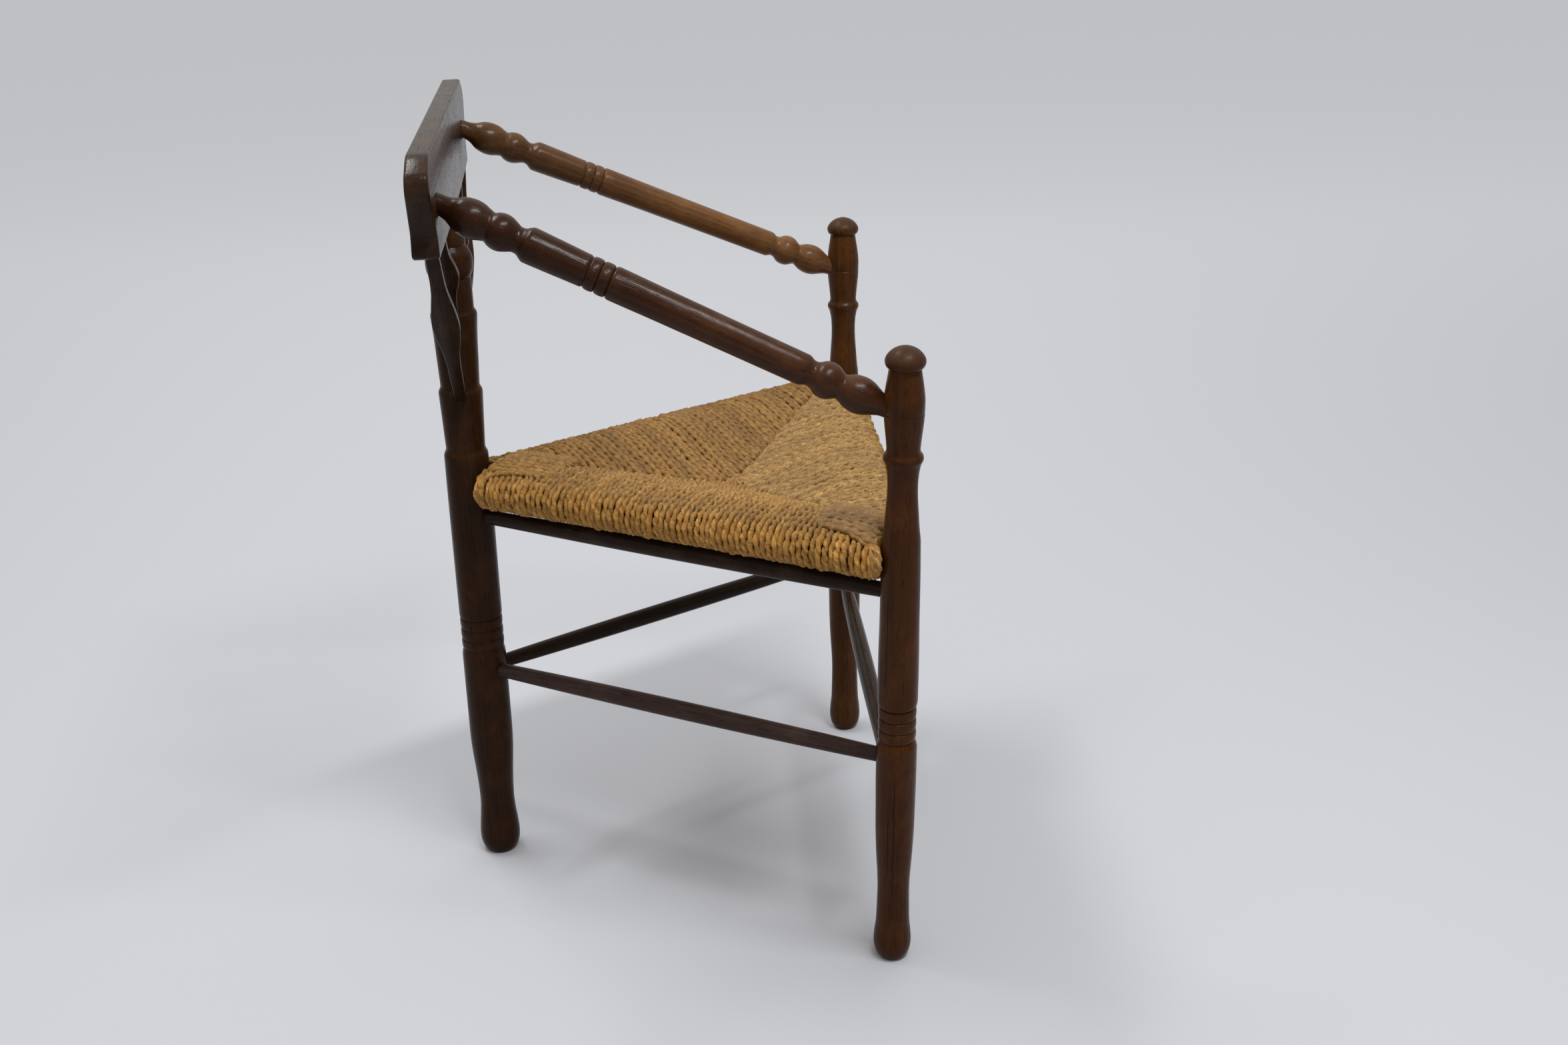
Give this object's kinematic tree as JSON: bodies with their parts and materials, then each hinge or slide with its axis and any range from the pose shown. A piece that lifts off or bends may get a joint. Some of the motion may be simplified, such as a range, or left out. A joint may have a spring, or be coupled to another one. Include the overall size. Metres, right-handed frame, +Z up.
{
  "type": "corner armchair",
  "caption": "Three-legged corner armchair with turned posts, sloping turned arms, a crest board on fanned splats and a woven rush seat.",
  "frame": {"origin": "on the floor, under the middle of the chair's overall outline", "axes": "+Z up, the sitter faces -Y, the back post stands at +Y on X = 0"},
  "size_m": [0.5854, 0.471, 0.8255],
  "materials": {
    "back_post_wood": "dark stained and polished",
    "front_post_wood": "dark stained and polished",
    "crest_wood": "dark stained, glossy",
    "splat_wood": "dark stained",
    "arm_wood": "stained and polished",
    "peg_wood": "stained",
    "rail_wood": "bare, hidden by the rush",
    "stretcher_wood": "dark stained",
    "rush": "twisted dry rush"
  },
  "bodies": {
    "root": {"back_post": "back_post_wood", "front_post_left": "front_post_wood", "front_post_right": "front_post_wood", "crest": "crest_wood", "splat_outer_left": "splat_wood", "splat_inner_left": "splat_wood", "splat_outer_right": "splat_wood", "splat_inner_right": "splat_wood", "arm_left": "arm_wood", "arm_right": "arm_wood", "arm_peg_left": "peg_wood", "arm_peg_right": "peg_wood", "seat_rail_left": "rail_wood", "seat_rail_right": "rail_wood", "seat_rail_front": "rail_wood", "upper_stretcher_left": "stretcher_wood", "upper_stretcher_right": "stretcher_wood", "lower_stretcher_left": "stretcher_wood", "lower_stretcher_right": "stretcher_wood", "lower_stretcher_front": "stretcher_wood", "rush_seat": "rush"}
  },
  "joints": []
}
